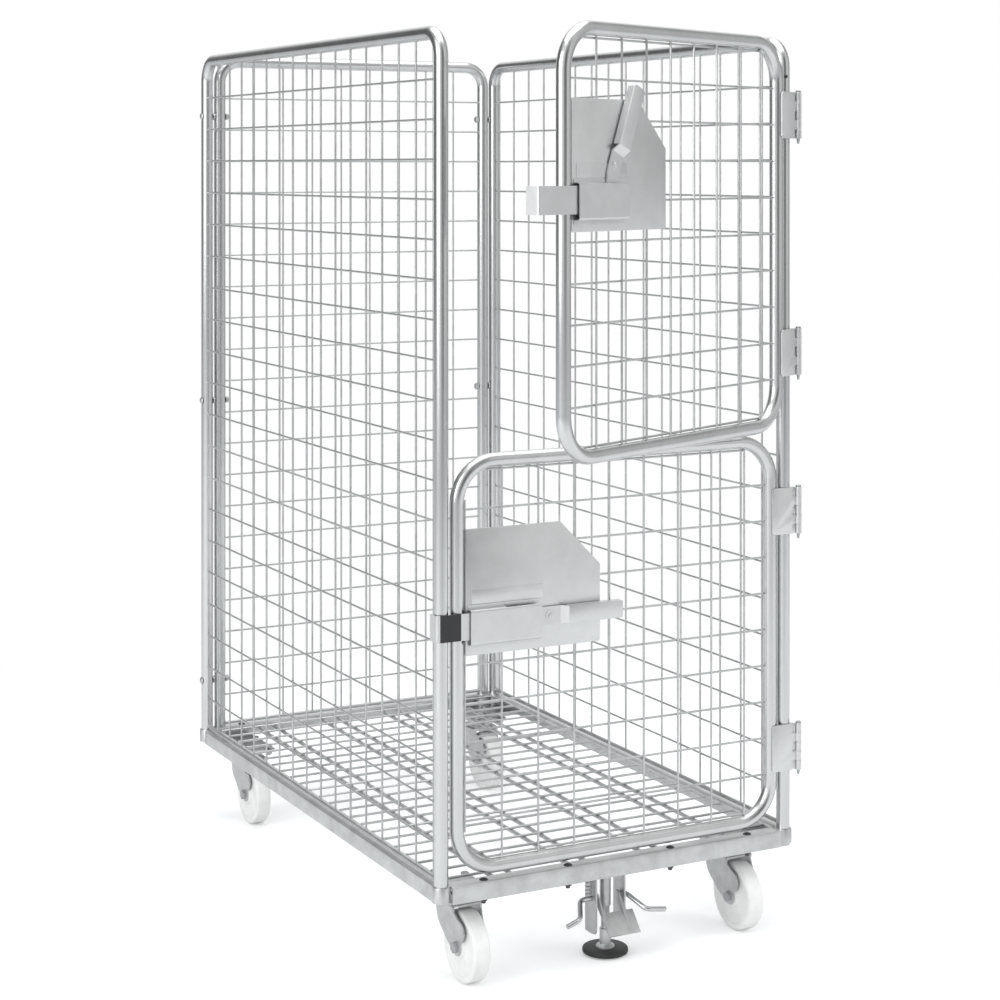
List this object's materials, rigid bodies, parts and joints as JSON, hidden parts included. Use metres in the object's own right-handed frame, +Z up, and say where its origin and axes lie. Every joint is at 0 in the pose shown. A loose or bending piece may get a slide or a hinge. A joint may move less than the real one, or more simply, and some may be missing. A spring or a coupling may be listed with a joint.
{
  "type": "roll container",
  "caption": "Tall galvanised wire-mesh roll container with a split front door on hinges, sliding latches, a floor lock and swivel casters.",
  "frame": {"origin": "middle of the whole object's bounding box, with the upper door open as at rest, on the floor", "axes": "+X to the right and +Y to the back, seen from the door side; +Z up"},
  "size_m": [0.7542, 1.512, 1.662],
  "materials": {
    "zinc_tube": "satin",
    "zinc_wire": "satin",
    "zinc_sheet": "satin",
    "zinc_plated": "satin",
    "zinc_pressing": "satin",
    "white_nylon": "satin",
    "black_rubber": "matte"
  },
  "bodies": {
    "cage": {"base_frame": "zinc_pressing", "corner_plates": "zinc_sheet", "deck_bearers": "zinc_wire", "deck_wires": "zinc_wire", "flange_bolts": "zinc_plated", "left_side_frame": "zinc_tube", "right_side_frame": "zinc_tube", "left_side_mesh": "zinc_wire", "right_side_mesh": "zinc_wire", "rear_frame": "zinc_tube", "rear_mesh": "zinc_wire", "panel_tie_bolts": "zinc_plated", "caster_plates": "zinc_sheet", "caster_bolts": "zinc_plated", "kingpins": "zinc_plated", "post_hinge_leaves": "zinc_sheet", "hinge_pins": "zinc_plated", "lock_bracket": "zinc_pressing", "lock_spring": "zinc_plated"},
    "front_left_swivel_fork": {"front_left_fork": "zinc_pressing", "front_left_axle": "zinc_plated"},
    "front_left_rolling_wheel": {"front_left_wheel": "white_nylon"},
    "front_right_swivel_fork": {"front_right_fork": "zinc_pressing", "front_right_axle": "zinc_plated"},
    "front_right_rolling_wheel": {"front_right_wheel": "white_nylon"},
    "rear_left_swivel_fork": {"rear_left_fork": "zinc_pressing", "rear_left_axle": "zinc_plated"},
    "rear_left_rolling_wheel": {"rear_left_wheel": "white_nylon"},
    "rear_right_swivel_fork": {"rear_right_fork": "zinc_pressing", "rear_right_axle": "zinc_plated"},
    "rear_right_rolling_wheel": {"rear_right_wheel": "white_nylon"},
    "lower_door": {"lower_door_frame": "zinc_tube", "lower_door_mesh": "zinc_wire", "lower_hinge_leaves": "zinc_sheet", "lower_latch_plate": "zinc_sheet", "lower_latch_guide": "zinc_sheet"},
    "lower_strap": {"lower_latch_strap": "zinc_sheet"},
    "lower_lever": {"lower_latch_lever": "zinc_sheet"},
    "upper_door": {"upper_door_frame": "zinc_tube", "upper_door_mesh": "zinc_wire", "upper_hinge_leaves": "zinc_sheet", "upper_latch_plate": "zinc_sheet", "upper_latch_guide": "zinc_sheet"},
    "upper_strap": {"upper_latch_strap": "zinc_sheet"},
    "upper_lever": {"upper_latch_lever": "zinc_sheet"},
    "lock_lever": {"lock_pedal": "zinc_pressing", "foot_rods": "zinc_plated"},
    "lock_stem": {"lock_plunger": "zinc_pressing", "lock_foot": "black_rubber"}
  },
  "joints": [
    {"name": "front_left_swivel", "type": "hinge", "parent": "cage", "child": "front_left_swivel_fork", "pos_m": [-0.28985, -0.35699, 0.135], "axis": [0, 0, 1], "continuous": true},
    {"name": "front_left_roll", "type": "hinge", "parent": "front_left_swivel_fork", "child": "front_left_rolling_wheel", "pos_m": [-0.28985, -0.38499, 0.0625], "axis": [1, 0, 0], "continuous": true},
    {"name": "front_right_swivel", "type": "hinge", "parent": "cage", "child": "front_right_swivel_fork", "pos_m": [0.27615, -0.35699, 0.135], "axis": [0, 0, 1], "continuous": true},
    {"name": "front_right_roll", "type": "hinge", "parent": "front_right_swivel_fork", "child": "front_right_rolling_wheel", "pos_m": [0.27615, -0.38499, 0.0625], "axis": [1, 0, 0], "continuous": true},
    {"name": "rear_left_swivel", "type": "hinge", "parent": "cage", "child": "rear_left_swivel_fork", "pos_m": [-0.28985, 0.66901, 0.135], "axis": [0, 0, 1], "continuous": true},
    {"name": "rear_left_roll", "type": "hinge", "parent": "rear_left_swivel_fork", "child": "rear_left_rolling_wheel", "pos_m": [-0.28985, 0.64101, 0.0625], "axis": [1, 0, 0], "continuous": true},
    {"name": "rear_right_swivel", "type": "hinge", "parent": "cage", "child": "rear_right_swivel_fork", "pos_m": [0.27615, 0.66901, 0.135], "axis": [0, 0, 1], "continuous": true},
    {"name": "rear_right_roll", "type": "hinge", "parent": "rear_right_swivel_fork", "child": "rear_right_rolling_wheel", "pos_m": [0.27615, 0.64101, 0.0625], "axis": [1, 0, 0], "continuous": true},
    {"name": "lower_door_hinge", "type": "hinge", "parent": "cage", "child": "lower_door", "pos_m": [0.37115, -0.44299, 0.341], "axis": [0, 0, 1], "range_deg": [0, 265]},
    {"name": "lower_latch_lever_turn", "type": "hinge", "parent": "lower_door", "child": "lower_lever", "pos_m": [-0.21945, -0.45199, 0.622], "axis": [0, -1, 0], "range_deg": [0, 66.4]},
    {"name": "lower_latch_strap_slide", "type": "slide", "parent": "lower_door", "child": "lower_strap", "axis": [-1, 0, 0], "range_m": [0, 0.038]},
    {"name": "upper_door_hinge", "type": "hinge", "parent": "cage", "child": "upper_door", "pos_m": [0.37115, -0.44299, 1.075], "axis": [0, 0, 1], "range_deg": [-23.5, 241.5]},
    {"name": "upper_latch_lever_turn", "type": "hinge", "parent": "upper_door", "child": "upper_lever", "pos_m": [-0.16688, -0.68675, 1.356], "axis": [0.3987, -0.9171, 0], "range_deg": [-66.4, 0]},
    {"name": "upper_latch_strap_slide", "type": "slide", "parent": "upper_door", "child": "upper_strap", "axis": [-0.9171, -0.3987, 0], "range_m": [-0.038, 0]},
    {"name": "floor_lock_lever", "type": "hinge", "parent": "cage", "child": "lock_lever", "pos_m": [-0.00685, -0.38399, 0.104], "axis": [1, 0, 0], "range_deg": [-30, 2]},
    {"name": "floor_lock_plunger", "type": "slide", "parent": "cage", "child": "lock_stem", "axis": [0, 0, 1], "range_m": [-0.00187, 0.028]}
  ],
  "couplings": [
    {"joint": "lower_latch_strap_slide", "follows": "lower_latch_lever_turn", "m_per_rad": 0.03279},
    {"joint": "upper_latch_strap_slide", "follows": "upper_latch_lever_turn", "m_per_rad": 0.03279},
    {"joint": "floor_lock_plunger", "follows": "floor_lock_lever", "m_per_rad": -0.053476}
  ]
}
